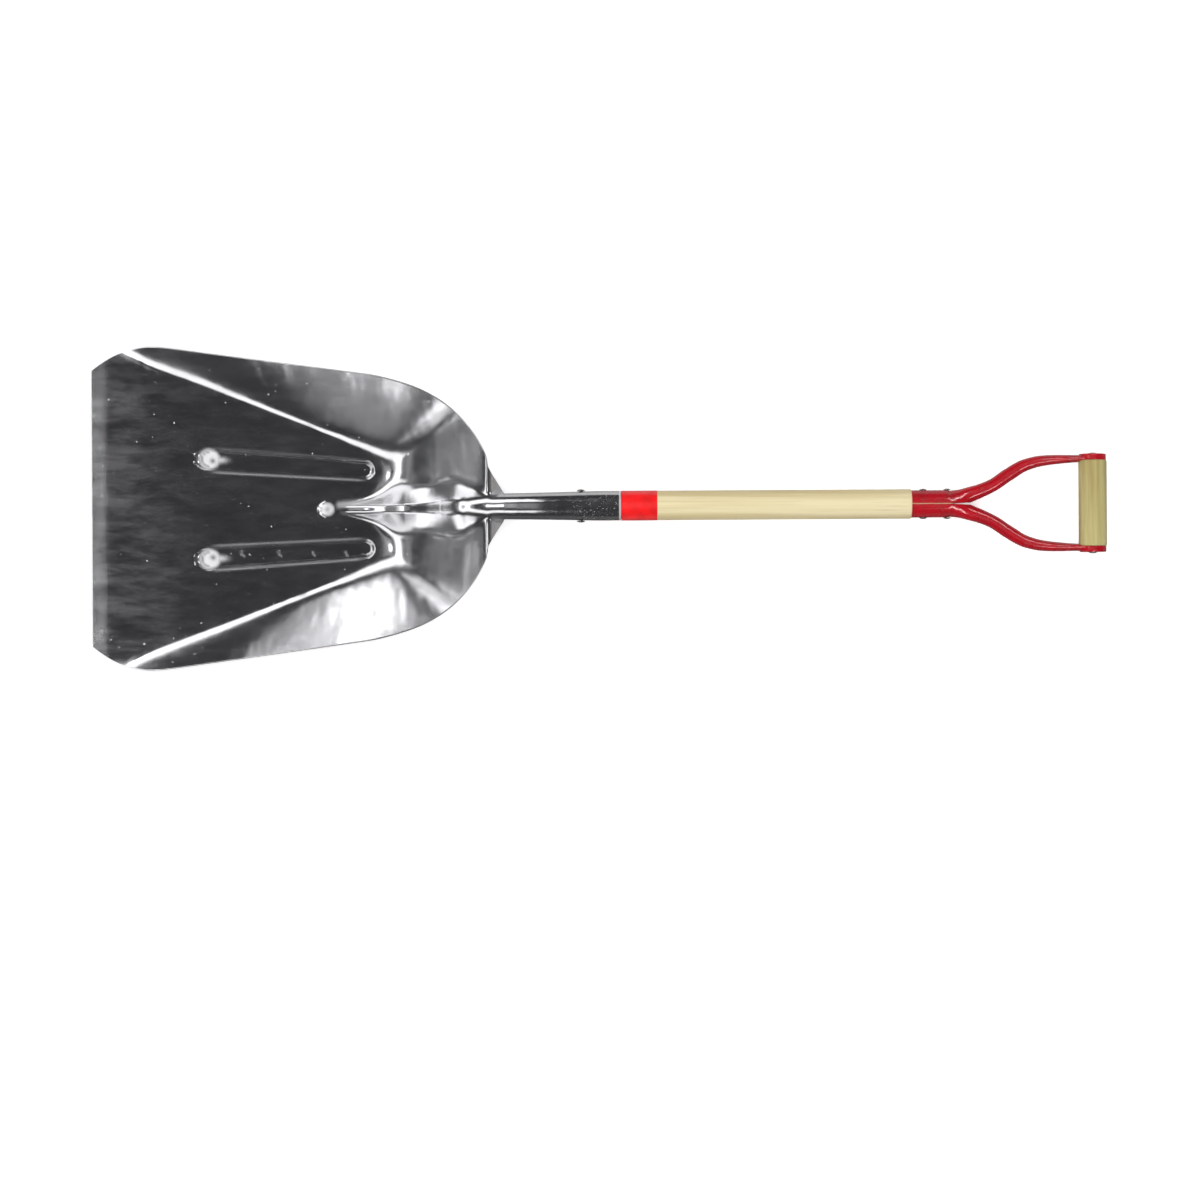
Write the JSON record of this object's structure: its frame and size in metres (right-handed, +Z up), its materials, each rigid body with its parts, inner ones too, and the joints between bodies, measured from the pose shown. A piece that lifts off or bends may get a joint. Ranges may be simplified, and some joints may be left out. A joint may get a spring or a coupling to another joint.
{
  "type": "grain scoop shovel",
  "caption": "Wide deep aluminium scoop with a centre ridge and pressed grooves, on a straight wooden shaft with a riveted red steel yoke and a wooden cross grip.",
  "frame": {"origin": "centre of the bounding box, on the ground the tool lies on", "axes": "+X from the blade towards the grip, +Z up. The tool lies on the heel of its blade and on its grip, so the handle slopes down 5.63 degrees towards +X"},
  "size_m": [1.2086, 0.3882, 0.1284],
  "materials": {
    "polished_aluminium": "polished",
    "shaft_wood": "clear lacquer",
    "grip_wood": "clear lacquer",
    "red_band": "gloss",
    "red_enamel": "gloss enamel",
    "zinc": "zinc plated"
  },
  "bodies": {
    "root": {"pan": "polished_aluminium", "socket": "polished_aluminium", "shaft": "shaft_wood", "band": "red_band", "yoke_left": "red_enamel", "yoke_right": "red_enamel", "ferrule_rivet_front": "zinc", "ferrule_rivet_rear": "zinc", "grip": "grip_wood", "socket_rivet": "zinc", "grip_rod": "zinc"}
  },
  "joints": []
}
